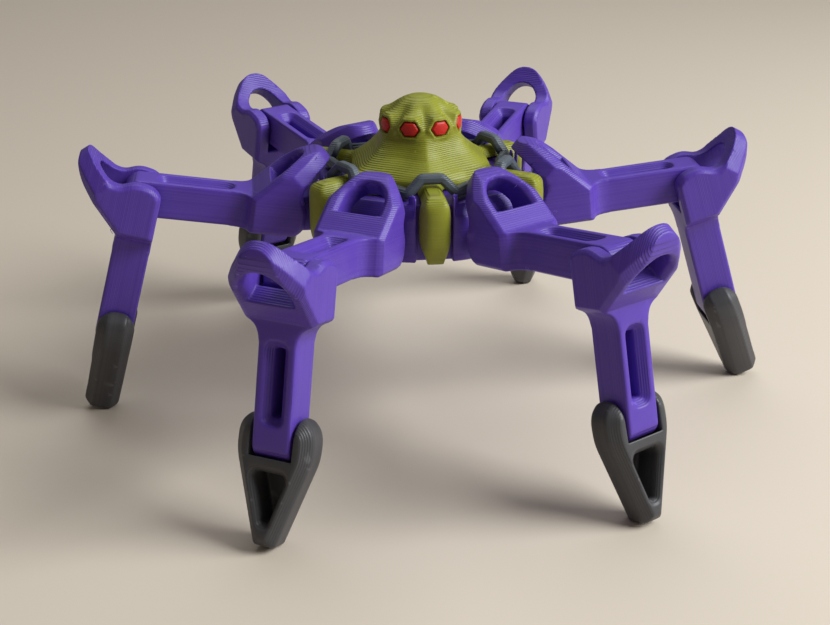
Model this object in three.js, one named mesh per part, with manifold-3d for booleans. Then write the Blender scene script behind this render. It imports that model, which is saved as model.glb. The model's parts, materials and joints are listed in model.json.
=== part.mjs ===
import * as THREE from 'three';
import { mergeVertices } from 'three/addons/utils/BufferGeometryUtils.js';
import Module from 'manifold-3d';

// Hexapod spider robot, millimetres, +Z up. The origin is the middle of the hub underside,
// one arm of the head points along -Y and the six legs stand between the arms.

// Body
const HUB = { radius: 14.1, flat: 13.7, top: 8.1, chamfer: 0.4 };
const DISH = { radius: 12.8, floor: 6.9 };
const HIP = { radius: 16.9, z: 2.6 };
const FLOOR_Z = -23.25;

// Leg links: the femur and the tibia share one shape
const BEAM = { width: 4.5, height: 4.5 };
const FORK_WIDTH = 8.9;
const GAP = 0.3;
const PIVOT_Z = 2.1;
const NEAR_PIVOT_X = -4.4;
const FAR_PIVOT_X = 13.0;
const LINK_PITCH = FAR_PIVOT_X - NEAR_PIVOT_X;
const PIN_RADIUS = 0.9;
const TONGUE_SWEEP = 2.95;
const SLOT_FLOOR = 0.8;

// Foot, measured from its own pivot
const FOOT = { length: 11.9, thickness: 4.7, chamfer: 1.0 };
const POCKET = { top: 3.6, end: 9.2, floor: -1.3 };

// Head, arms and crown ring
const ARM = { reach: 16.1, halfWidth: 1.84, top: 8.5, inner: 13.3 };
const RING = { width: 1.4, height: 1.2 };
const EYE = { radius: 4.65, z: 13.6, halfWidth: 1.15, halfHeight: 0.8, depth: 0.9 };

// Eight eyes evenly round the head: bearings of the four on each side, from the front
const EYE_BEARINGS = [22.5, 67.5, 112.5, 157.5];

// Azimuth from the front, and the elevations of the femur and the tibia as the robot stands
const LEGS = {
  front_left: { azimuth: -30, femur: 8.8, tibia: -77.3 },
  front_right: { azimuth: 30, femur: 8.9, tibia: -77.2 },
  middle_left: { azimuth: -90, femur: 8.6, tibia: -74.4 },
  middle_right: { azimuth: 90, femur: 6.4, tibia: -72.3 },
  back_left: { azimuth: -150, femur: 9.5, tibia: -77.0 },
  back_right: { azimuth: 150, femur: 8.2, tibia: -74.4 },
};
const ARM_AZIMUTHS = [0, 60, 120, 180, 240, 300];

const PURPLE = { color: 0x4b3390, roughness: 0.45 };
const OLIVE = { color: 0x7c7c2c, roughness: 0.5 };
const BLUE_GREY = { color: 0x464f5c, roughness: 0.5 };
const DARK_GREY = { color: 0x3a3a3c, roughness: 0.55 };
const RED = { color: 0xb4231b, roughness: 0.45 };

const wasm = await Module();
wasm.setup();

// ---- helpers ----

const rad = (degrees) => (degrees * Math.PI) / 180;
const vector = (point) => new THREE.Vector3(...point);
const mirrored = (right) => [...right, ...right.map(([a, b]) => [-a, b]).reverse()];
const axes = (x, y, z) => new THREE.Matrix4().makeBasis(vector(x), vector(y), vector(z));
const moved = (x, y, z) => new THREE.Matrix4().makeTranslation(x, y, z);

// Frame standing at an azimuth: x runs outward, y sideways, z up
const outward = (azimuth) => new THREE.Matrix4().makeRotationZ(rad(azimuth - 90));

function solid(geometry, matrix = new THREE.Matrix4()) {
  const bare = geometry.clone().applyMatrix4(matrix);
  bare.deleteAttribute('normal');
  bare.deleteAttribute('uv');
  const merged = mergeVertices(bare, 1e-4);
  return new wasm.Manifold(new wasm.Mesh({
    numProp: 3,
    vertProperties: new Float32Array(merged.attributes.position.array),
    triVerts: new Uint32Array(merged.index.array),
  }));
}

function geometryOf(body) {
  const mesh = body.getMesh();
  const geometry = new THREE.BufferGeometry();
  geometry.setAttribute('position', new THREE.Float32BufferAttribute(mesh.vertProperties, 3));
  geometry.setIndex(new THREE.Uint32BufferAttribute(mesh.triVerts, 1));
  return geometry;
}

// Prism on an outline, centred on the plane of the outline, chamfered inside the outline
function prism(outline, thickness, chamfer = 0) {
  const shape = new THREE.Shape(outline.map(([a, b]) => new THREE.Vector2(a, b)));
  const geometry = new THREE.ExtrudeGeometry(shape, {
    depth: thickness - 2 * chamfer,
    bevelEnabled: chamfer > 0,
    bevelThickness: chamfer,
    bevelSize: chamfer,
    bevelOffset: -chamfer,
    bevelSegments: 1,
  });
  return geometry.translate(0, 0, chamfer - thickness / 2);
}

// Cutter for the bevelled rim of an opening: it has the outline at z = -depth and widens upward
function flaredCutter(outline, depth, flare) {
  const shape = new THREE.Shape(outline.map(([a, b]) => new THREE.Vector2(a, b)));
  const settings = { depth: 2, bevelThickness: depth, bevelSize: flare, bevelSegments: 1 };
  return new THREE.ExtrudeGeometry(shape, settings);
}

// Prism on an (x, z) outline with its thickness across y
const sideways = (outline, thickness, chamfer) =>
  prism(outline, thickness, chamfer).applyMatrix4(axes([1, 0, 0], [0, 0, 1], [0, -1, 0]));

// Prism on a (y, z) outline with its thickness along x
const endways = (outline, thickness, chamfer) =>
  prism(outline, thickness, chamfer).applyMatrix4(axes([0, 1, 0], [0, 0, 1], [1, 0, 0]));

function circle(radius, count, x = 0, y = 0) {
  return Array.from({ length: count }, (_, i) => {
    const angle = (2 * Math.PI * (i + 0.5)) / count;
    return [x + radius * Math.cos(angle), y + radius * Math.sin(angle)];
  });
}

function named(name, geometry, look, matrix = new THREE.Matrix4()) {
  const item = new THREE.Mesh(geometry, new THREE.MeshStandardMaterial({ ...look, metalness: 0 }));
  item.name = name;
  item.applyMatrix4(matrix);
  return item;
}

// ---- hinge ----

// Rounded end of a beam that turns between two ears, for a pivot at (x, z)
const tongueEnd = (x, z) => [
  [x + 1.1, z - 2.1], [x + 1.9, z - 1.6], [x + 2.35, z - 0.6],
  [x + 2.35, z + 0.8], [x + 1.9, z + 1.75], [x + 1.05, z + 2.4],
];

const pinAt = (x, z) => solid(sideways(circle(PIN_RADIUS, 16, x, z), BEAM.width + 2 * GAP + 0.6));
const boreAt = (x, z, matrix) =>
  solid(sideways(circle(PIN_RADIUS + GAP, 16, x, z), BEAM.width + 2), matrix);

// Arc that clears the tongue, from one angle to another about the pivot
const sweptArc = (x, z, angles) => angles.map((angle) => [
  x + TONGUE_SWEEP * Math.cos(rad(angle)), z + TONGUE_SWEEP * Math.sin(rad(angle))]);

// ---- leg link ----

// Frame of the sloping horn face: x across the leg, y up the face, z out of the face
function hornFace() {
  const k = Math.SQRT1_2;
  return moved(0, 0, BEAM.height).multiply(axes([0, 1, 0], [-k, 0, k], [k, 0, k]));
}

function forkBody() {
  const profile = [
    [0, 0], [0, BEAM.height], [-3.9, 8.4], [-5.5, 9.8], [-7.5, 10.6], [-9.7, 10.2],
    [-7.5, 8.1], [-6.2, 6.3], [-6.0, 5.0], [-6.9, 3.2], [-6.6, 1.0], [-5.6, 0],
  ];
  const hood = mirrored([[4.8, -9], [4.8, 4.8], [4.4, 5.6], [3.1, 7.9], [1.7, 9.5], [0.7, 10.0]]);
  const hoodFrame = hornFace().multiply(moved(0, 0, -10));
  return solid(sideways(profile, FORK_WIDTH, 0.6))
    .intersect(solid(prism(hood, 20, 0.75), hoodFrame));
}

// Room between the ears, ending in a throat that clears the tongue as it turns
function earGap() {
  const throatX = NEAR_PIVOT_X + TONGUE_SWEEP;
  const outline = [[-12, -1], [throatX, -1], [throatX, PIVOT_Z],
    ...sweptArc(NEAR_PIVOT_X, PIVOT_Z, [18, 38, 58, 75]), [-12, 5]];
  return solid(sideways(outline, BEAM.width + 2 * GAP));
}

// Window through the horn, wide enough for a beam to swing into it
function hornWindow() {
  const side = BEAM.width / 2 + GAP;
  const outline = mirrored([[side, 2.92], [side, 5.0], [2.25, 6.0], [1.45, 7.1], [0.6, 7.6]]);
  const rim = flaredCutter(outline, 0.45, 0.45);
  return solid(prism(outline, 24), hornFace()).add(solid(rim, hornFace()));
}

// Concave fillets that lead from the fork down to the beam
function shoulders() {
  const outline = [[-0.6, 4.1], [0.1, 3.9], [0.3, 3.3], [0.8, 2.75], [1.5, 2.4], [2.4, 2.2]];
  const across = [...outline, ...outline.map(([x, y]) => [x, -y]).reverse()];
  return solid(prism(across, BEAM.height), moved(0, 0, BEAM.height / 2));
}

// Trough along the horn side of the beam with a deep narrow slot in its floor
function beamRecess() {
  const floor = [[2.5, -0.65], [10.8, -0.65], [10.8, 0.65], [2.5, 0.65]];
  const slot = [[2.5, -0.6], [10.2, -0.6], [10.2, 0.6], [2.5, 0.6]];
  const trough = flaredCutter(floor, 0.9, 0.75);
  return solid(trough, moved(0, 0, BEAM.height))
    .add(solid(prism(slot, 6), moved(0, 0, SLOT_FLOOR + 3)));
}

function makeLink() {
  const beam = [[-1.2, 0], ...tongueEnd(FAR_PIVOT_X, PIVOT_Z), [-1.2, BEAM.height]];
  return forkBody().add(shoulders()).add(solid(sideways(beam, BEAM.width)))
    .subtract(earGap()).subtract(hornWindow()).subtract(beamRecess())
    .subtract(boreAt(FAR_PIVOT_X, PIVOT_Z)).add(pinAt(NEAR_PIVOT_X, PIVOT_Z));
}

// ---- foot ----

// Blunt end of the foot, (x, z) from its pivot
const FOOT_SOLE = [[-0.6, -2.15], [-0.1, -1.1], [0, 0], [-0.1, 1.1], [-0.5, 2.15]]
  .map(([x, z]) => [FOOT.length + x, z]);

function makeFoot() {
  const front = [
    [-2.65, 2.6], [-2.3, 3.2], [-1.5, 4.1], [-0.4, 4.5], [1.9, 4.5], [FOOT.length, 1.2]];
  const outline = [...front, ...front.map(([x, y]) => [x, -y]).reverse()];
  const half = FOOT.thickness / 2;
  const side = [[-2.65, -0.6], [-2.0, -1.7], [-0.9, -half], ...FOOT_SOLE, [-0.9, half],
    [-2.0, 1.7], [-2.65, 0.6]];
  const pocket = [[POCKET.top, -1.75], [POCKET.top + 0.5, -1.9], [POCKET.end, -0.4],
    [POCKET.end, 0.4], [POCKET.top + 0.5, 1.9], [POCKET.top, 1.75]];
  const rim = flaredCutter(pocket, 0.5, 0.35).translate(0, 0, half);
  const throat = [[-6, -4], ...sweptArc(0, 0, [-60, -42, -24, -8, 8, 24, 42, 60]), [-6, 4]];
  return solid(prism(outline, FOOT.thickness, FOOT.chamfer))
    .intersect(solid(sideways(side, FORK_WIDTH + 2)))
    .subtract(solid(sideways(throat, BEAM.width + 2 * GAP)))
    .subtract(solid(prism(pocket, 8), moved(0, 0, POCKET.floor + 4))).subtract(solid(rim))
    .add(pinAt(0, 0));
}

// ---- hub ----

function makeHub() {
  const wall = [[0, 0], [HUB.radius - HUB.chamfer, 0], [HUB.radius, HUB.chamfer],
    [HUB.radius, HUB.top - HUB.chamfer], [HUB.radius - HUB.chamfer, HUB.top],
    [DISH.radius, HUB.top], [DISH.radius, DISH.floor], [0, DISH.floor]];
  let hub = solid(new THREE.LatheGeometry(wall.map(([r, z]) => new THREE.Vector2(r, z)), 48),
    axes([1, 0, 0], [0, 0, 1], [0, -1, 0]));
  const tongue = [[12, HIP.z - PIVOT_Z], ...tongueEnd(HIP.radius, HIP.z), [12, HIP.z + 2.4]];
  const forkNotch = [
    [12.4, DISH.floor], [HUB.flat, 5.2], [HUB.flat, -1], [16, -1], [16, 10], [12.4, 10]];
  const armGroove = [
    [12.5, DISH.floor], [12.9, DISH.floor], [12.9, -1], [16, -1], [16, 10], [12.5, 10]];
  for (const { azimuth } of Object.values(LEGS)) {
    hub = hub.subtract(solid(sideways(forkNotch, FORK_WIDTH + 2 * GAP), outward(azimuth)))
      .add(solid(sideways(tongue, BEAM.width), outward(azimuth)))
      .subtract(boreAt(HIP.radius, HIP.z, outward(azimuth)));
  }
  for (const azimuth of ARM_AZIMUTHS) {
    hub = hub.subtract(solid(sideways(armGroove, 2 * (ARM.halfWidth + GAP)), outward(azimuth)));
  }
  return hub;
}

// ---- head ----

// Height, mean radius and six-fold swell toward the arms (negative: toward the legs)
const HEAD_LEVELS = [
  [7.2, 8.45, 0.05], [8.2, 8.75, 0.3], [8.8, 8.3, 0.5], [9.5, 7.35, 0.6], [10.3, 6.35, 0.6],
  [11.1, 5.65, 0.5], [11.9, 5.15, 0.35], [12.6, 4.95, 0.15], [13.3, 4.95, 0], [14.1, 4.8, -0.25],
  [14.5, 4.55, -0.45], [15, 3.9, -0.45], [15.5, 3.3, -0.25], [16, 2.7, -0.1],
  [16.4, 2.05, -0.04], [16.75, 1, 0],
];

function headShell() {
  const count = 48;
  const positions = [0, 0, HEAD_LEVELS[0][0]];
  for (const [z, radius, swell] of HEAD_LEVELS) {
    for (let i = 0; i < count; i += 1) {
      const angle = (2 * Math.PI * i) / count;
      const waves = swell > 0 ? ARM_AZIMUTHS.length : 2 * EYE_BEARINGS.length;
      const r = radius + swell * Math.cos(waves * (angle - Math.PI / 2));
      positions.push(r * Math.cos(angle), r * Math.sin(angle), z);
    }
  }
  positions.push(0, 0, 16.85);
  const last = positions.length / 3 - 1;
  const index = [];
  for (let i = 0; i < count; i += 1) {
    const j = (i + 1) % count;
    index.push(0, 1 + j, 1 + i);
    for (let k = 0; k < HEAD_LEVELS.length - 1; k += 1) {
      const a = 1 + k * count;
      const b = a + count;
      index.push(a + i, a + j, b + j, a + i, b + j, b + i);
    }
    index.push(last - count + i, last - count + j, last);
  }
  const geometry = new THREE.BufferGeometry();
  geometry.setAttribute('position', new THREE.Float32BufferAttribute(positions, 3));
  geometry.setIndex(index);
  return solid(geometry);
}

// Arm that leaves the head, crosses the hub under the ring and hooks down its wall
function makeArm() {
  const side = [[6, DISH.floor + GAP], [ARM.inner, DISH.floor + GAP], [ARM.inner, 0.7],
    [14.2, 0.25], [15.2, 0.45], [ARM.reach, 2.6], [ARM.reach, 7.3], [15.5, 8.0], [14.2, 8.4],
    [6, ARM.top]];
  const front = mirrored([[1.05, 0.2], [1.25, 0.8], [ARM.halfWidth, 2.5], [ARM.halfWidth, 6.8],
    [1.45, 7.75], [0.8, ARM.top]]);
  const half = [[5, 2.2], [13.5, 2.2], [15.1, ARM.halfWidth], [15.8, 1.2], [ARM.reach, 0.4]];
  const plan = [...half, ...half.map(([x, y]) => [x, -y]).reverse()];
  return solid(sideways(side, 6)).intersect(solid(endways(front, 20), moved(12, 0, 0)))
    .intersect(solid(prism(plan, 30)));
}

// Six-sided outline with its points to the left and right
const eyeOutline = (grow) => [[1, 0], [0.52, 1], [-0.52, 1], [-1, 0], [-0.52, -1], [0.52, -1]]
  .map(([a, b]) => [a * (EYE.halfWidth + grow), b * (EYE.halfHeight + grow)]);

function makeHead() {
  let head = headShell();
  const arm = geometryOf(makeArm());
  for (const azimuth of ARM_AZIMUTHS) head = head.add(solid(arm, outward(azimuth)));
  const depth = 3;
  const floor = EYE.radius - EYE.depth / 2 - GAP;
  const pocket = endways(eyeOutline(GAP), depth).translate(floor + depth / 2, 0, EYE.z);
  for (const bearing of EYE_BEARINGS) {
    head = head.subtract(solid(pocket, outward(bearing)))
      .subtract(solid(pocket, outward(-bearing)));
  }
  return head;
}

function makeEye() {
  return endways(eyeOutline(0), EYE.depth, 0.3).translate(EYE.radius, 0, EYE.z);
}

// ---- crown ring ----

// Closed band of square section that arches over every arm and dips at every leg
function makeRing() {
  const path = [];
  for (const azimuth of ARM_AZIMUTHS) {
    for (const [side, radius, z] of [
      [-2.8, 11.3, 7.8], [-1.2, 11.0, 9.45], [1.2, 11.0, 9.45], [2.8, 11.3, 7.8]]) {
      path.push(new THREE.Vector3(radius, side, z).applyMatrix4(outward(azimuth)));
    }
    path.push(new THREE.Vector3(10.1, 0, 7.8).applyMatrix4(outward(azimuth + 30)));
  }
  const [w, h] = [RING.width / 2, RING.height / 2];
  const section = [[-w, -h + 0.3], [-w + 0.3, -h], [w - 0.3, -h], [w, -h + 0.3],
    [w, h - 0.3], [w - 0.3, h], [-w + 0.3, h], [-w, h - 0.3]];
  const positions = [];
  path.forEach((point, i) => {
    const before = path[(i + path.length - 1) % path.length];
    const after = path[(i + 1) % path.length];
    const arriving = point.clone().sub(before).normalize();
    const leaving = after.clone().sub(point).normalize();
    const along = arriving.clone().add(leaving).normalize();
    const out = new THREE.Vector3(point.x, point.y, 0).normalize();
    out.addScaledVector(along, -out.dot(along)).normalize();
    const up = new THREE.Vector3().crossVectors(out, along).normalize();
    for (const [a, b] of section) {
      positions.push(...point.clone().addScaledVector(out, a).addScaledVector(up, b).toArray());
    }
  });
  const index = [];
  const n = section.length;
  for (let i = 0; i < path.length; i += 1) {
    for (let k = 0; k < n; k += 1) {
      const [a, b] = [i * n + k, i * n + ((k + 1) % n)];
      const [c, d] = [((i + 1) % path.length) * n + k, ((i + 1) % path.length) * n + ((k + 1) % n)];
      index.push(a, c, d, a, d, b);
    }
  }
  const geometry = new THREE.BufferGeometry();
  geometry.setAttribute('position', new THREE.Float32BufferAttribute(positions, 3));
  geometry.setIndex(index);
  return geometry;
}

// ---- assembly ----

// Frame of a leg piece that is tilted to an elevation about its pivot
const legFrame = (azimuth, pivot, elevation) => outward(azimuth)
  .multiply(moved(pivot.radius, 0, pivot.z))
  .multiply(new THREE.Matrix4().makeRotationY(-rad(elevation)));

// Pivot at the far end of a link that starts at a pivot
const farEnd = (pivot, elevation) => ({
  radius: pivot.radius + LINK_PITCH * Math.cos(rad(elevation)),
  z: pivot.z + LINK_PITCH * Math.sin(rad(elevation)),
});

// Elevation at which the lowest point of the sole stands on the floor
function footElevation(ankleZ) {
  const reach = (angle) => Math.max(...FOOT_SOLE.map(([x, z]) =>
    x * Math.sin(rad(angle)) - z * Math.cos(rad(angle))));
  let [low, high] = [40, 85];
  for (let i = 0; i < 40; i += 1) {
    const middle = (low + high) / 2;
    if (reach(middle) < ankleZ - FLOOR_Z) low = middle;
    else high = middle;
  }
  return -low;
}

const group = new THREE.Group();
const link = geometryOf(makeLink()).translate(-NEAR_PIVOT_X, 0, -PIVOT_Z);
const foot = geometryOf(makeFoot());
const eye = makeEye();

for (const [leg, { azimuth, femur, tibia }] of Object.entries(LEGS)) {
  const knee = farEnd(HIP, femur);
  const ankle = farEnd(knee, tibia);
  group.add(
    named(`femur_${leg}`, link, PURPLE, legFrame(azimuth, HIP, femur)),
    named(`tibia_${leg}`, link, PURPLE, legFrame(azimuth, knee, tibia)),
    named(`foot_${leg}`, foot, DARK_GREY, legFrame(azimuth, ankle, footElevation(ankle.z))),
  );
}

for (const [i, bearing] of EYE_BEARINGS.entries()) {
  group.add(
    named(`eye_left_${i + 1}`, eye, RED, outward(-bearing)),
    named(`eye_right_${i + 1}`, eye, RED, outward(bearing)),
  );
}

group.add(named('hub', geometryOf(makeHub()), PURPLE));
group.add(named('head', geometryOf(makeHead()), OLIVE));
group.add(named('crown_ring', makeRing(), BLUE_GREY));

export default group;
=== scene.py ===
"""Looks of the hexapod spider robot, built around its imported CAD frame. Fields are in millimetres."""

import json
import math

import bpy
import numpy as np
import openvdb
from mathutils import Matrix, Vector


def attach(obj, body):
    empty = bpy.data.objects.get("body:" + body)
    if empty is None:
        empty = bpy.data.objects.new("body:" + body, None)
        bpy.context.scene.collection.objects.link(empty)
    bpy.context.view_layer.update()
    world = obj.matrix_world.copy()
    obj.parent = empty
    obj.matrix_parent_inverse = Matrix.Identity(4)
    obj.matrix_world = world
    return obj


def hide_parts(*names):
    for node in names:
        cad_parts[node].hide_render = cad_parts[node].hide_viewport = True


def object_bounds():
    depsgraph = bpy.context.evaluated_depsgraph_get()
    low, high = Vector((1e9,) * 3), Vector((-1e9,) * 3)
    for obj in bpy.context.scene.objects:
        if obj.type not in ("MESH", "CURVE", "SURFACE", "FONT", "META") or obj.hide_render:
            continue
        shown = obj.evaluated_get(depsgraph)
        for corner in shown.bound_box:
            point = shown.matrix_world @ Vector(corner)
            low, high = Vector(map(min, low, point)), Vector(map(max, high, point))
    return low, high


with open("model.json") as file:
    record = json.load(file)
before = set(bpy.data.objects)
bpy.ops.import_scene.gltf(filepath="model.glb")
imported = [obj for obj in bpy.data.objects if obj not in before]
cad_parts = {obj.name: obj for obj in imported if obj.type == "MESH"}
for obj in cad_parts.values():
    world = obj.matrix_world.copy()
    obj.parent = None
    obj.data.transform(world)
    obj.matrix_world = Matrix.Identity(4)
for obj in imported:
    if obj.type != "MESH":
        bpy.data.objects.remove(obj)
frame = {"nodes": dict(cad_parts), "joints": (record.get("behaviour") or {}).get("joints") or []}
cad_low, cad_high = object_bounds()

MM = 0.001
LAYER = 0.20 * MM

# Camera: bearing, height and distance round a point on the body, then a pan and a tilt off it
CAMERA = {"azimuth": -6.95, "elevation": 16.91, "distance": 0.171265, "pan": -0.22,
          "tilt": -6.30, "lens": 59.43, "middle": (0, 0, 0.00825)}
FLOOR_COLOUR, FLOOR_ROUGHNESS, FLOOR_REACH = (0.64, 0.56, 0.46, 1), 0.6, 3
SURROUND_COLOUR, SURROUND_STRENGTH = (1.0, 0.93, 0.84, 1), 0.16
THREAD_RADIUS, THREAD_STEP, THREAD_WANDER, THREAD_POINTS = 0.03, 0.28, 0.9, 6

LEGS = ("front_left", "front_right", "middle_left", "middle_right", "back_left", "back_right")
JOINTS = {joint["name"]: joint for joint in frame["joints"]}


# ---- camera, floor and light ----


def make_camera():
    """Camera of a close hand-held view: placed round the body, then panned and tilted off it."""
    azimuth, elevation, pan, tilt = (
        math.radians(CAMERA[turn]) for turn in ("azimuth", "elevation", "pan", "tilt"))
    middle = Vector(CAMERA["middle"])
    back = Vector((math.sin(azimuth) * math.cos(elevation),
                   -math.cos(azimuth) * math.cos(elevation), math.sin(elevation)))
    ahead = -back
    right = ahead.cross(Vector((0, 0, 1))).normalized()
    up = right.cross(ahead)
    ahead, right = (ahead * math.cos(pan) + right * math.sin(pan),
                    right * math.cos(pan) - ahead * math.sin(pan))
    ahead, up = (ahead * math.cos(tilt) + up * math.sin(tilt),
                 up * math.cos(tilt) - ahead * math.sin(tilt))
    data = bpy.data.cameras.new("camera")
    data.sensor_width = 36
    data.lens = CAMERA["lens"]
    data.clip_start, data.clip_end = 0.005, 10
    camera = bpy.data.objects.new("camera", data)
    bpy.context.scene.collection.objects.link(camera)
    place = Matrix((right, up, -ahead)).transposed().to_4x4()
    place.translation = middle + back * CAMERA["distance"]
    camera.matrix_world = place
    bpy.context.scene.camera = camera


def make_light(name, azimuth, elevation, distance, size, power, colour):
    """Soft panel that looks at the robot from an azimuth and an elevation."""
    data = bpy.data.lights.new(name, "AREA")
    data.shape = "DISK"
    data.size = size
    data.energy = power
    data.color = colour
    light = bpy.data.objects.new(name, data)
    bpy.context.scene.collection.objects.link(light)
    a, e = math.radians(azimuth), math.radians(elevation)
    back = Vector((math.sin(a) * math.cos(e), -math.cos(a) * math.cos(e), math.sin(e)))
    light.location = back * distance
    light.rotation_mode = "QUATERNION"
    light.rotation_quaternion = back.to_track_quat("Z", "Y")


def make_stage():
    """Pale floor under the feet and an even pale surround."""
    z, r = cad_low.z, FLOOR_REACH
    mesh = bpy.data.meshes.new("floor")
    mesh.from_pydata([(-r, -r, z), (r, -r, z), (r, r, z), (-r, r, z)], [], [(0, 1, 2, 3)])
    floor = bpy.data.objects.new("floor", mesh)
    bpy.context.scene.collection.objects.link(floor)
    material = bpy.data.materials.new("floor")
    material.use_nodes = True
    shader = material.node_tree.nodes["Principled BSDF"]
    shader.inputs["Base Color"].default_value = FLOOR_COLOUR
    shader.inputs["Roughness"].default_value = FLOOR_ROUGHNESS
    mesh.materials.append(material)
    world = bpy.data.worlds.new("surround")
    world.use_nodes = True
    background = world.node_tree.nodes["Background"]
    background.inputs["Color"].default_value = SURROUND_COLOUR
    background.inputs["Strength"].default_value = SURROUND_STRENGTH
    bpy.context.scene.world = world
    bpy.context.scene.view_settings.view_transform = "Standard"


make_camera()
make_stage()
make_light("window", 70, 36, 0.42, 0.28, 2.5, (0.95, 0.98, 1.0))
make_light("room", 178, 62, 0.9, 0.7, 2.2, (0.93, 0.96, 1.0))


# ---- printed plastic ----


class Graph:
    """Short hand for wiring a material's nodes."""

    def __init__(self, material):
        self.nodes = material.node_tree.nodes
        self.links = material.node_tree.links

    def add(self, kind, inputs=(), **settings):
        node = self.nodes.new(kind)
        for key, value in settings.items():
            setattr(node, key, value)
        for key, value in dict(inputs).items():
            if isinstance(value, bpy.types.NodeSocket):
                self.links.new(value, node.inputs[key])
            else:
                node.inputs[key].default_value = value
        return node

    def math(self, operation, *values):
        return self.add("ShaderNodeMath", dict(enumerate(values)), operation=operation).outputs[0]

    def mix(self, factor, a, b):
        node = self.add("ShaderNodeMix", {0: factor, 6: a, 7: b}, data_type="RGBA")
        return node.outputs[2]


def printed(name, colour, light, roughness=0.42, depth=0.026, waver=0.02, edge_wear_and_highlight=0.6):
    """Filament laid down in layers along print_up: rounded ribs, uneven layers, painted shade in the
    layer grooves, edges paled partly by rubbing and partly as a painted highlight.
    """
    material = bpy.data.materials.new(name)
    material.use_nodes = True
    g = Graph(material)
    shader = g.nodes["Principled BSDF"]
    where = g.add("ShaderNodeAttribute", attribute_name="print_space").outputs["Vector"]
    up = g.add("ShaderNodeAttribute", attribute_name="print_up").outputs["Vector"]
    along = g.add("ShaderNodeMapping", {"Vector": where, "Scale": (1, 1, 0.15)}).outputs[0]
    sway = g.add("ShaderNodeTexNoise", {"Vector": along, "Scale": 420.0, "Detail": 3.0}).outputs[0]
    z = g.add("ShaderNodeSeparateXYZ", {0: where}).outputs["Z"]
    layers = g.math("MULTIPLY_ADD", z, 1 / LAYER, g.math("MULTIPLY", sway, waver * 4))
    share = g.math("FRACT", layers)
    number = g.math("FLOOR", layers)
    groove = g.math("ABSOLUTE", g.math("MULTIPLY_ADD", share, 2.0, -1.0))
    rib = g.math("SUBTRACT", 1.0, g.math("POWER", groove, 2.6))
    each = g.add("ShaderNodeTexWhiteNoise", {"W": number}, noise_dimensions="1D").outputs["Value"]
    cloud = g.add("ShaderNodeTexNoise", {"Vector": where, "Scale": 180.0, "Detail": 4.0}).outputs[0]
    grain = g.add("ShaderNodeTexNoise", {"Vector": where, "Scale": 5200.0, "Detail": 2.0}).outputs[0]
    normal = g.add("ShaderNodeNewGeometry").outputs["Normal"]
    turned = g.add("ShaderNodeVectorTransform", {0: normal}, vector_type="NORMAL",
                   convert_from="WORLD", convert_to="OBJECT").outputs[0]
    rise = g.add("ShaderNodeVectorMath", {0: turned, 1: up}, operation="DOT_PRODUCT")
    tilt = g.math("ABSOLUTE", rise.outputs["Value"])
    steps = g.add("ShaderNodeMapRange", {0: tilt, 1: 0.12, 2: 0.7, 3: 0.3, 4: 1.0}).outputs[0]
    patch = g.add("ShaderNodeTexNoise", {"Vector": where, "Scale": 260.0, "Detail": 1.0}).outputs[0]
    patch = g.add("ShaderNodeMapRange", {0: patch, 1: 0.42, 2: 0.62, 3: 0.45, 4: 1.35}).outputs[0]
    steps = g.math("MULTIPLY", steps, patch)
    height = g.math("MULTIPLY", g.math("MULTIPLY_ADD", each, 0.35, rib), steps)
    height = g.math("MULTIPLY_ADD", grain, 0.05, height)
    bump = g.add("ShaderNodeBump", {"Height": height, "Distance": depth * MM, "Strength": 1.0})
    # Painted shade: the layer grooves are darkened toward half the colour.
    dark = tuple(0.5 * c for c in colour)
    groove_shade = g.math("MULTIPLY", g.math("POWER", groove, 3.0), g.math("MULTIPLY", steps, 0.75))
    tone = g.mix(groove_shade, (*colour, 1), (*dark, 1))
    uneven = g.math("MULTIPLY_ADD", each, 0.12, g.math("MULTIPLY", cloud, 0.16))
    tone = g.mix(uneven, tone, (*light, 1))
    # Convex edges are paled toward the light tone: partly rubbing, partly a painted highlight.
    edge = g.add("ShaderNodeNewGeometry").outputs["Pointiness"]
    worn_and_highlit_edge = g.add("ShaderNodeMapRange", {0: edge, 1: 0.51, 2: 0.60, 3: 0.0, 4: edge_wear_and_highlight}).outputs[0]
    tone = g.mix(worn_and_highlit_edge, tone, (*light, 1))
    gloss = g.math("MULTIPLY_ADD", cloud, 0.16, roughness - 0.08)
    g.links.new(tone, shader.inputs["Base Color"])
    g.links.new(gloss, shader.inputs["Roughness"])
    shader.inputs["Specular IOR Level"].default_value = 0.36
    g.links.new(bump.outputs[0], shader.inputs["Normal"])
    return material


PURPLE = printed("purple_plastic", (0.082, 0.034, 0.350), (0.19, 0.12, 0.55))
OLIVE = printed("olive_plastic", (0.235, 0.245, 0.016), (0.40, 0.42, 0.06), depth=0.045)
# Same dark grey filament as the feet; its lighter, bluer tone is a painted reflection.
RING_GREY_PAINTED_REFLECTION = printed("blue_grey_plastic", (0.062, 0.076, 0.094), (0.16, 0.19, 0.22), depth=0.04)
DARK_GREY = printed("dark_grey_plastic", (0.045, 0.044, 0.048), (0.13, 0.13, 0.14), depth=0.018)
RED = printed("red_plastic", (0.52, 0.012, 0.006), (0.72, 0.05, 0.03))


# ---- shapes as distance fields ----


def rounded(outline, radius):
    """Outline with its corners turned into short curves; a third number is that corner's radius."""
    points = []
    count = len(outline)
    for i, corner in enumerate(outline):
        here = np.array(corner[:2], float)
        before = np.array(outline[i - 1][:2], float) - here
        after = np.array(outline[(i + 1) % count][:2], float) - here
        wanted = corner[2] if len(corner) > 2 else radius
        cut = min(wanted, 0.48 * np.linalg.norm(before), 0.48 * np.linalg.norm(after))
        a = here + before / np.linalg.norm(before) * cut
        b = here + after / np.linalg.norm(after) * cut
        for t in np.linspace(0, 1, 6):
            points.append((1 - t) ** 2 * a + 2 * t * (1 - t) * here + t * t * b)
    return np.array(points)


def mirrored(right):
    return [*right, *[(-p[0], *p[1:]) for p in reversed(right)]]


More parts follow.
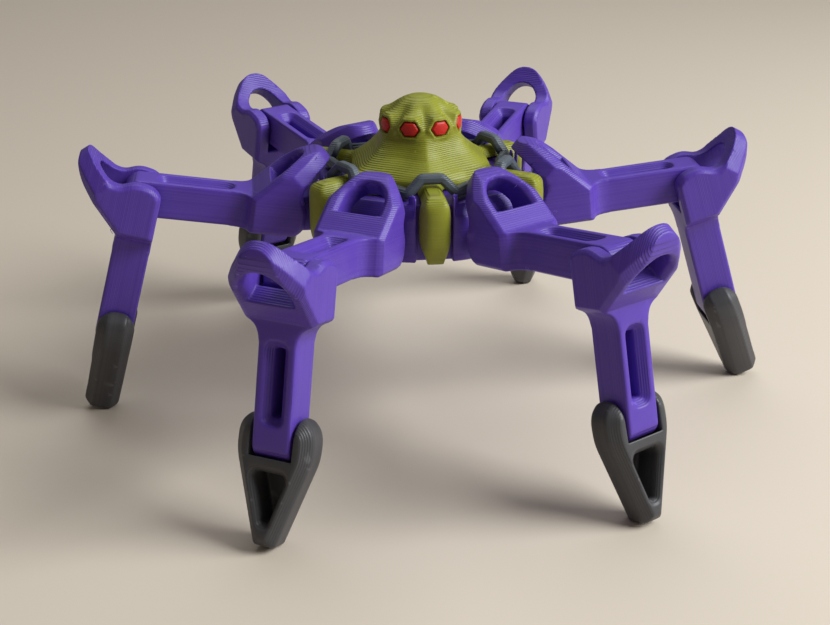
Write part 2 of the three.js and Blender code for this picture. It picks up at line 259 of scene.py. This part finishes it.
def flat(outline, u, v):
    """Signed distance in the plane from the points (u, v) to a closed outline, negative inside."""
    shape = np.broadcast(u, v).shape
    u = np.broadcast_to(u, shape).astype(np.float32)
    v = np.broadcast_to(v, shape).astype(np.float32)
    nearest = np.full(shape, 1e9, np.float32)
    inside = np.zeros(shape, bool)
    for (ax, ay), (bx, by) in zip(outline, np.roll(outline, -1, axis=0)):
        ex, ey = bx - ax, by - ay
        length = ex * ex + ey * ey
        if length < 1e-12:
            continue
        wx, wy = u - ax, v - ay
        t = np.clip((wx * ex + wy * ey) / length, 0, 1)
        nearest = np.minimum(nearest, (wx - t * ex) ** 2 + (wy - t * ey) ** 2)
        crosses = (v >= ay) != (v >= by)
        if ey != 0:
            inside ^= crosses & (u < ax + wy * ex / ey)
    return np.where(inside, -1, 1) * np.sqrt(nearest)


def looked_up(outline, u, v, step=0.04):
    """Same as flat(), read from a table, for points that fill a volume."""
    low = np.array([float(u.min()), float(v.min())]) - step
    high = np.array([float(u.max()), float(v.max())]) + step
    size = np.ceil((high - low) / step).astype(int) + 2
    table = flat(outline, (low[0] + step * np.arange(size[0]))[:, None],
                 (low[1] + step * np.arange(size[1]))[None, :])
    i = (u - low[0]) / step
    j = (v - low[1]) / step
    i, j = np.broadcast_arrays(i, j)
    i0 = i.astype(np.int32)
    j0 = j.astype(np.int32)
    s, t = (i - i0).astype(np.float32), (j - j0).astype(np.float32)
    return ((1 - s) * (1 - t) * table[i0, j0] + s * (1 - t) * table[i0 + 1, j0]
            + (1 - s) * t * table[i0, j0 + 1] + s * t * table[i0 + 1, j0 + 1])


def both(a, b, chamfer=0.0, soft=0.0):
    """Where both fields hold, with the shared edge chamfered and then softened."""
    if soft:
        h = np.clip(soft - np.abs(a - b), 0, None) / soft
        joined = np.maximum(a, b) + h * h * soft * 0.25
    else:
        joined = np.maximum(a, b)
    if chamfer:
        joined = np.maximum(joined, (a + b + chamfer) * math.sqrt(0.5))
    return joined


def either(a, b, soft=0.0):
    return -both(-a, -b, soft=soft)


def without(a, b, chamfer=0.0, soft=0.0):
    return both(a, -b, chamfer, soft)


def space(low, high, step):
    """Open coordinate arrays of a block of points."""
    axes = [np.arange(a, b + step, step, dtype=np.float32) for a, b in zip(low, high)]
    return np.meshgrid(*axes, indexing="ij", sparse=True)


def mesh_of(name, field, low, step, thin=0.0):
    """Mesh of the zero surface of a field, in metres."""
    grid = openvdb.FloatGrid(1.0)
    grid.copyFromArray(np.ascontiguousarray(field, dtype=np.float32))
    points, triangles, quads = grid.convertToPolygons(isovalue=0.0, adaptivity=thin)
    points = (points * step + np.array(low)) * MM
    faces = [tuple(reversed(f)) for f in quads.tolist()] + [
        tuple(reversed(f)) for f in triangles.tolist()]
    mesh = bpy.data.meshes.new(name)
    mesh.from_pydata(points.tolist(), [], faces)
    mesh.validate()
    mesh.polygons.foreach_set("use_smooth", [True] * len(mesh.polygons))
    mesh.update()
    return mesh


def placed(mesh, place):
    """Copy of a mesh at its place, keeping the coordinates and the up direction it is printed in."""
    mesh = mesh.copy()
    spots = np.empty(3 * len(mesh.vertices), np.float32)
    mesh.vertices.foreach_get("co", spots)
    up = np.tile(np.array(place.to_3x3() @ Vector((0, 0, 1)), np.float32), len(mesh.vertices))
    for name, values in (("print_space", spots), ("print_up", up)):
        mesh.attributes.new(name, "FLOAT_VECTOR", "POINT").data.foreach_set("vector", values)
    mesh.transform(place)
    return mesh


def piece(name, mesh, material, body, node, place=Matrix()):
    """New piece in place of a CAD node."""
    if not mesh.materials:
        mesh.materials.append(material)
    item = bpy.data.objects.new(name, placed(mesh, place))
    bpy.context.scene.collection.objects.link(item)
    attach(item, body)
    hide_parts(node)
    return item


# ---- leg link ----

NEAR_X, FAR_X, PIVOT_Z = -4.4, 13.0, 2.1
BEAM_HALF, BEAM_HEIGHT, FORK_HALF = 2.25, 4.5, 4.45
CLEAR = 0.3
SWEEP = 2.95


def arc(x, z, radius, start, stop, count=12):
    angles = np.radians(np.linspace(start, stop, count))
    return [(x + radius * math.cos(a), z + radius * math.sin(a)) for a in angles]


def link_field(x, y, z):
    side = np.abs(y)
    profile = rounded([
        (0, 0, 0.2), (0, 4.5, 0.1), (-3.9, 8.4, 1.6), (-5.5, 9.8, 1.2), (-7.5, 10.6, 1.0),
        (-9.7, 10.2, 0.5), (-7.5, 8.1, 1.5), (-6.2, 6.3, 1.2), (-6.0, 5.0, 1.0),
        (-6.9, 3.2, 1.0), (-6.6, 1.0, 0.8), (-5.6, 0, 0.5)], 0.5)
    fork = both(flat(profile, x, z), side - FORK_HALF, chamfer=0.45, soft=0.06)

    k = math.sqrt(0.5)
    up_face = (z - BEAM_HEIGHT - x) * k
    above_face = (x + z - BEAM_HEIGHT) * k
    hood = rounded(mirrored([
        (4.8, -9), (4.8, 4.8, 0.9), (4.4, 5.6, 0.9), (3.1, 7.9, 1.4), (1.7, 9.5, 1.1),
        (0.7, 10.0, 0.7)]), 0.8)
    hooded = looked_up(hood, y, up_face)
    fork = both(both(fork, hooded, soft=0.08), above_face, soft=0.05)
    rim = (hooded + above_face + 0.95) * k
    fork = both(fork, rim, soft=0.1)

    shoulder = rounded([
        (-0.8, 4.1), (0.1, 3.9, 0.2), (0.35, 3.3, 0.5), (0.8, 2.75, 0.6), (1.5, 2.4, 0.8),
        (2.6, 2.2, 0.6), (2.6, -2.2, 0.6), (1.5, -2.4, 0.8), (0.8, -2.75, 0.6),
        (0.35, -3.3, 0.5), (0.1, -3.9, 0.2), (-0.8, -4.1)], 0.1)
    shoulders = both(flat(shoulder, x, y), np.abs(z - BEAM_HEIGHT / 2) - BEAM_HEIGHT / 2,
                     chamfer=0.15)

    tongue = rounded([
        (-1.2, 0), (14.1, 0, 1.2), (14.9, 0.5, 1.0), (15.35, 1.5, 1.2), (15.35, 2.9, 1.2),
        (14.9, 3.85, 0.8), (14.05, 4.5, 0.7), (-1.2, 4.5)], 0.05)
    beam = both(flat(tongue, x, z), side - BEAM_HALF, chamfer=0.22, soft=0.1)
    body = either(either(fork, shoulders, soft=0.1), beam, soft=0.15)

    throat = NEAR_X + SWEEP
    gap = rounded([(-12, -2), (throat, -2), (throat, PIVOT_Z, 0.1),
                   *arc(NEAR_X, PIVOT_Z, SWEEP, 12, 75), (-12, 5)], 0.05)
    body = without(body, both(flat(gap, x, z), side - BEAM_HALF - CLEAR), chamfer=0.12)

    window = rounded(mirrored([
        (2.55, 2.92, 0.25), (2.55, 5.0, 1.0), (2.25, 6.0, 1.0), (1.45, 7.1, 1.0),
        (0.6, 7.6, 0.6)]), 0.3)
    opening = looked_up(window, y, up_face)
    flare = both((opening - above_face - 0.55) * k, 2.92 - up_face)
    body = without(body, either(opening, flare, soft=0.2), soft=0.1)

    floor = rounded([(2.9, -0.62), (10.6, -0.62), (10.6, 0.62), (2.9, 0.62)], 0.35)
    slot = flat(floor, x, y)
    trough = both((slot - (z - BEAM_HEIGHT + 0.95) * 0.9) * 0.72, BEAM_HEIGHT - 1.05 - z)
    body = without(body, trough, soft=0.1)
    body = without(body, both(slot + 0.05, 0.8 - z), soft=0.1)

    bore = np.hypot(x - FAR_X, z - PIVOT_Z) - 1.2
    body = without(body, both(bore, side - 6), chamfer=0.1)
    pin = both(np.hypot(x - NEAR_X, z - PIVOT_Z) - 0.9, side - BEAM_HALF - 0.6)
    return either(body, pin)


def make_link(step=0.12):
    low, high = (-10.4, -5.0, -0.6), (15.9, 5.0, 11.2)
    x, y, z = space(low, high, step)
    return mesh_of("link", link_field(x, y, z), low, step, thin=0.02)


# ---- foot ----


def foot_field(x, y, z):
    front = [(-2.65, 2.6, 0.5), (-2.3, 3.3, 0.8), (-1.5, 4.15, 0.9), (-0.4, 4.5, 0.9),
             (1.9, 4.5, 1.2), (11.9, 1.25, 0.6)]
    outline = rounded([*front, *[(p[0], -p[1], *p[2:]) for p in reversed(front)]], 0.5)
    side = rounded([
        (-2.65, -0.6, 0.6), (-2.0, -1.7, 0.6), (-0.9, -2.35, 0.6), (11.3, -2.15, 0.5),
        (11.8, -1.1, 0.5), (11.9, 0, 0.5), (11.8, 1.1, 0.5), (11.4, 2.15, 0.5),
        (-0.9, 2.35, 0.6), (-2.0, 1.7, 0.6), (-2.65, 0.6, 0.6)], 0.5)
    front_side = flat(outline, x, y)
    thick = flat(side, x, z)
    body = both(both(front_side, thick, soft=0.2), np.abs(z) - 2.35, soft=0.1)
    body = both(body, (front_side + np.abs(z) - 2.35 + 1.2) * math.sqrt(0.5), soft=0.15)
    gap = rounded([(-6, -4), *arc(0, 0, SWEEP, -62, 62), (-6, 4)], 0.05)
    body = without(body, both(flat(gap, x, z), np.abs(y) - BEAM_HALF - CLEAR), soft=0.2)
    window = rounded([
        (3.7, -1.6, 0.5), (4.3, -1.85, 0.5), (9.2, -0.35, 0.4), (9.2, 0.35, 0.4),
        (4.3, 1.85, 0.5), (3.7, 1.6, 0.5)], 0.4)
    opening = flat(window, x, y)
    flare = (opening + 2.35 - z - 0.75) * 0.72
    body = without(body, both(either(opening, flare, soft=0.3), -1.3 - z, soft=0.3), soft=0.2)
    pin = both(np.hypot(x, z) - 0.9, np.abs(y) - BEAM_HALF - 0.6)
    return either(body, pin)


def make_foot(step=0.12):
    low, high = (-3.2, -5.0, -2.9), (12.4, 5.0, 2.9)
    x, y, z = space(low, high, step)
    return mesh_of("foot", foot_field(x, y, z), low, step, thin=0.02)


# ---- hub ----


def hub_field(x, y, z):
    radius = np.hypot(x, y)
    wall = rounded([
        (-5, 0), (14.1, 0, 0.5), (14.1, 8.1, 0.5), (12.8, 8.1, 0.25), (12.8, 6.9, 0.2),
        (-5, 6.9)], 0.2)
    body = looked_up(wall, radius, z)
    ahead, aside = folded(x, y, 30)
    tongue = rounded([
        (11, 0.5), (18.0, 0.5, 1.2), (18.8, 1.0, 1.0), (19.25, 2.0, 1.2), (19.25, 3.4, 1.2),
        (18.8, 4.35, 0.8), (17.95, 5.0, 0.7), (11, 5.0)], 0.05)
    notch = rounded([(12.4, 6.9), (13.7, 5.2, 0.4), (13.7, -2), (17, -2), (17, 11), (12.4, 11)],
                    0.05)
    cut = both(looked_up(notch, ahead, z), np.abs(aside) - FORK_HALF - CLEAR)
    body = without(body, cut, chamfer=0.15, soft=0.08)
    body = either(body, both(looked_up(tongue, ahead, z), np.abs(aside) - BEAM_HALF,
                             chamfer=0.22, soft=0.1), soft=0.15)
    body = without(body, np.hypot(ahead - 16.9, z - 2.6) - 1.2)
    out, across = folded(x, y, 0)
    groove = both(both(np.abs(across) - 2.14, 12.9 - out), -20 - z)
    rim_cut = both(both(np.abs(across) - 2.14, 12.5 - out), 6.9 - z)
    return without(body, either(groove, rim_cut), chamfer=0.12, soft=0.08)


def make_hub(step=0.16):
    low, high = (-19.6, -19.6, -0.4), (19.6, 19.6, 8.5)
    x, y, z = space(low, high, step)
    return mesh_of("hub", hub_field(x, y, z), low, step, thin=0.02)


# ---- head ----

# Height, mean radius, and swell: toward the six arms, or where negative toward the eight eyes
HEAD_LEVELS = np.array([
    (7.0, 8.3, 0.0), (7.6, 8.7, 0.1), (8.2, 8.75, 0.3), (8.8, 8.3, 0.45), (9.5, 7.35, 0.5),
    (10.3, 6.35, 0.45), (11.1, 5.65, 0.38), (11.9, 5.15, 0.3), (12.6, 4.95, 0.15),
    (13.0, 4.95, 0.0), (13.6, 4.9, 0.0), (14.1, 4.8, -0.25), (14.5, 4.55, -0.45),
    (15.0, 3.95, -0.45), (15.5, 3.3, -0.25), (16.0, 2.7, -0.1), (16.4, 2.05, -0.04),
    (16.7, 1.2, 0.0), (16.85, 0.0, 0.0)])
EYE_RADIUS, EYE_Z, EYE_HALF_WIDTH, EYE_HALF_HEIGHT = 4.5, 13.6, 1.20, 0.84
EYE_BEARINGS = (22.5, 67.5, 112.5, 157.5)


def folded(x, y, first, step=60):
    """Points turned into the sector of step degrees about the nearest arm or eye."""
    angle = np.arctan2(x, -y) - math.radians(first)
    sector = math.radians(step)
    angle = angle - sector * np.round(angle / sector)
    radius = np.hypot(x, y)
    return radius * np.cos(angle), radius * np.sin(angle)


def eye_outline(grow=0.0):
    w, h = EYE_HALF_WIDTH + grow, EYE_HALF_HEIGHT + grow
    return rounded([(w, 0), (0.52 * w, h), (-0.52 * w, h), (-w, 0), (-0.52 * w, -h),
                    (0.52 * w, -h)], 0.16)


def head_field(x, y, z):
    ahead, aside = folded(x, y, 0)
    radius = np.hypot(x, y)
    bearing = np.arctan2(aside, ahead)
    keel = 1 - 2 * np.abs(np.sin(3 * bearing)) ** 1.25
    brow = np.cos(8 * np.arctan2(x, -y))
    swell = keel + (brow - keel) * np.clip((z - 12.2) / 1.2, 0, 1)
    levels, radii, swells = HEAD_LEVELS.T
    fine = np.linspace(levels[0], levels[-1], 200)
    mean = np.interp(z, levels, radii)
    ripple = np.interp(z, levels, swells)
    slope = np.interp(z, fine, np.gradient(np.interp(fine, levels, radii), fine))
    shell = (radius - mean - ripple * swell) / np.sqrt(1 + slope ** 2)
    shell = both(shell, z - 16.85, soft=0.3)
    shell = np.maximum(shell, 7.2 - z)

    side = rounded([
        (5.5, 7.2), (13.3, 7.2, 0.1), (13.3, 0.7, 0.2), (14.0, 0.2, 0.15), (15.0, 0.2, 0.15),
        (15.35, 0.9, 0.3), (16.1, 2.7, 0.9), (16.1, 6.5, 1.0), (15.75, 7.6, 0.8),
        (14.9, 8.3, 0.7), (13.7, 8.5, 0.6), (5.5, 8.5)], 0.1)
    front = rounded(mirrored([
        (1.0, 0), (1.05, 0.75, 0.2), (1.84, 2.6, 0.8), (1.84, 6.2, 1.0), (1.55, 7.4, 0.8),
        (1.0, 8.2, 0.5), (0.6, 8.5, 0.3)]), 0.1)
    plan = rounded([
        (4, 2.2), (13.5, 2.2, 0.8), (14.7, 1.84, 0.8), (15.7, 1.25, 0.7), (16.1, 0.45, 0.4),
        (16.1, -0.45, 0.4), (15.7, -1.25, 0.7), (14.7, -1.84, 0.8), (13.5, -2.2, 0.8),
        (4, -2.2)], 0.1)
    arm = both(looked_up(side, ahead, z), looked_up(plan, ahead, aside), soft=0.5)
    arm = both(arm, looked_up(front, aside, z), soft=0.25)
    head = either(shell, arm, soft=0.9)
    head = np.maximum(head, 7.2 - z - 20 * np.clip(ahead - 13.2, 0, 1))

    out, across = folded(x, y, 22.5, 45)
    lip = both(looked_up(eye_outline(0.5), across, z - EYE_Z), out - 4.9, chamfer=0.2, soft=0.1)
    head = either(head, both(lip, 3.5 - out), soft=0.5)
    socket = both(looked_up(eye_outline(0.1), across, z - EYE_Z), EYE_RADIUS - 0.6 - out)
    return without(head, socket, soft=0.12)


def make_head(step=0.15):
    low, high = (-16.5, -16.5, -0.3), (16.5, 16.5, 17.3)
    x, y, z = space(low, high, step)
    return mesh_of("head", head_field(x, y, z), low, step, thin=0.01)


def make_eye(step=0.06):
    """Gem-shaped eye with a slightly domed face, looking along x."""
    low, high = (3.4, -1.8, 12.5), (5.7, 1.8, 14.9)
    x, y, z = space(low, high, step)
    face = x + 0.14 * y ** 2 + 0.12 * (z - EYE_Z) ** 2 - 5.12
    gem = both(looked_up(eye_outline(), y, z - EYE_Z), face, chamfer=0.16, soft=0.08)
    return mesh_of("eye", both(gem, 4.1 - x), low, step)


# ---- crown ring ----

RING_PATH = [(-2.8, 11.3, 7.8), (-1.2, 11.0, 9.45), (1.2, 11.0, 9.45), (2.8, 11.3, 7.8)]


def make_ring():
    """Closed band that arches over every arm and dips at every leg."""
    path = []
    for turn in range(6):
        a = math.radians(60 * turn)
        for across, radius, z in RING_PATH + [(None, 10.1, 7.8)]:
            b = a + math.radians(30) if across is None else a
            side = across or 0.0
            path.append(np.array([radius * math.sin(b) + side * math.cos(b),
                                  -radius * math.cos(b) + side * math.sin(b), z]))
    bent = []
    for i, here in enumerate(path):
        before, after = path[i - 1] - here, path[(i + 1) % len(path)] - here
        a = here + before / np.linalg.norm(before) * 0.3
        b = here + after / np.linalg.norm(after) * 0.3
        for t in (0, 0.33, 0.67, 1):
            bent.append((1 - t) ** 2 * a + 2 * t * (1 - t) * here + t * t * b)
    section = rounded([(-0.7, -0.3, 0.1), (-0.4, -0.6, 0.1), (0.4, -0.6, 0.1), (0.7, -0.3, 0.1),
                       (0.7, 0.25, 0.1), (0.35, 0.6, 0.1), (-0.35, 0.6, 0.1),
                       (-0.7, 0.25, 0.1)], 0.1)
    points, faces = [], []
    n = len(section)
    for i, here in enumerate(bent):
        along = bent[(i + 1) % len(bent)] - bent[i - 1]
        along /= np.linalg.norm(along)
        out = np.array([here[0], here[1], 0.0])
        out -= along * out.dot(along)
        out /= np.linalg.norm(out)
        up = np.cross(out, along)
        points += [tuple((here + out * a + up * b) * MM) for a, b in section]
        j = (i + 1) % len(bent)
        faces += [(i * n + k, j * n + k, j * n + (k + 1) % n, i * n + (k + 1) % n)
                  for k in range(n)]
    mesh = bpy.data.meshes.new("crown_ring")
    mesh.from_pydata(points, [], faces)
    mesh.polygons.foreach_set("use_smooth", [True] * len(mesh.polygons))
    return mesh


# ---- stray threads left by the print head ----


def make_threads(name, spots, material, seed, place):
    """Short fine threads that curl off the surface near some spots (millimetres before placing)."""
    random = np.random.default_rng(seed)
    curve = bpy.data.curves.new(name, "CURVE")
    curve.dimensions = "3D"
    curve.bevel_depth = THREAD_RADIUS * MM
    curve.bevel_resolution = 1
    for spot in spots:
        heading = random.normal(size=3)
        heading /= np.linalg.norm(heading)
        here = np.array(spot, float)
        spline = curve.splines.new("NURBS")
        spline.points.add(THREAD_POINTS)
        for point in spline.points:
            point.co = (*(place @ Vector(here * MM)), 1)
            heading += THREAD_WANDER * random.normal(size=3)
            heading /= np.linalg.norm(heading)
            here = here + heading * THREAD_STEP
        spline.use_endpoint_u = True
    item = bpy.data.objects.new(name, curve)
    curve.materials.append(material)
    bpy.context.scene.collection.objects.link(item)
    return item


# ---- assembly ----


def frame_at(pivot, ahead, across):
    """Frame at a pivot with x ahead along the leg and y across it."""
    x = Vector(ahead).normalized()
    y = Vector(across).normalized()
    z = x.cross(y)
    place = Matrix((x, y, z)).transposed().to_4x4()
    place.translation = Vector(pivot)
    return place


def tip_of(node, pivot):
    """Middle of the corners of a node that lie farthest from a pivot."""
    corners = [v.co.copy() for v in frame["nodes"][node].data.vertices]
    reach = max((c - pivot).length for c in corners)
    far = [c for c in corners if (c - pivot).length > reach - 1e-5]
    return sum(far, Vector()) / len(far)


link = make_link()
foot = make_foot()
back_to_pivot = Matrix.Translation((-NEAR_X * MM, 0, -PIVOT_Z * MM))
for leg in LEGS:
    hip, knee, ankle = (Vector(JOINTS[f"{leg}_{j}"]["pos_m"]) for j in ("hip", "knee", "ankle"))
    across = -Vector(JOINTS[f"{leg}_hip"]["axis"])
    piece(f"shell_femur_{leg}", link, PURPLE, f"{leg}_femur", f"femur_{leg}",
          frame_at(hip, knee - hip, across) @ back_to_pivot)
    piece(f"shell_tibia_{leg}", link, PURPLE, f"{leg}_tibia", f"tibia_{leg}",
          frame_at(knee, ankle - knee, across) @ back_to_pivot)
    for part, start, end in (("femur", hip, knee), ("tibia", knee, ankle)):
        spots = [(-6.9, 1.2, 9.6), (-6.6, -1.3, 9.5), (-5.4, 2.2, 8.3), (-0.6, 3.6, 4.9)]
        threads = make_threads(f"threads_{part}_{leg}", spots, PURPLE,
                               len(part) + 3 * LEGS.index(leg) + (part == "tibia"),
                               frame_at(start, end - start, across) @ back_to_pivot)
        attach(threads, f"{leg}_{part}")
    tip = tip_of(f"foot_{leg}", ankle)
    piece(f"shell_foot_{leg}", foot, DARK_GREY, f"{leg}_foot", f"foot_{leg}",
          frame_at(ankle, tip - ankle, across))

piece("shell_head", make_head(), OLIVE, "chassis", "head")
piece("shell_crown_ring", make_ring(), RING_GREY_PAINTED_REFLECTION, "chassis", "crown_ring")
eye = make_eye()
for side, sign in (("left", -1), ("right", 1)):
    for i, bearing in enumerate(EYE_BEARINGS, 1):
        turn = math.radians(sign * bearing - 90)
        piece(f"shell_eye_{side}_{i}", eye, RED, "chassis", f"eye_{side}_{i}",
              Matrix.Rotation(turn, 4, "Z"))

piece("shell_hub", make_hub(), PURPLE, "chassis", "hub")
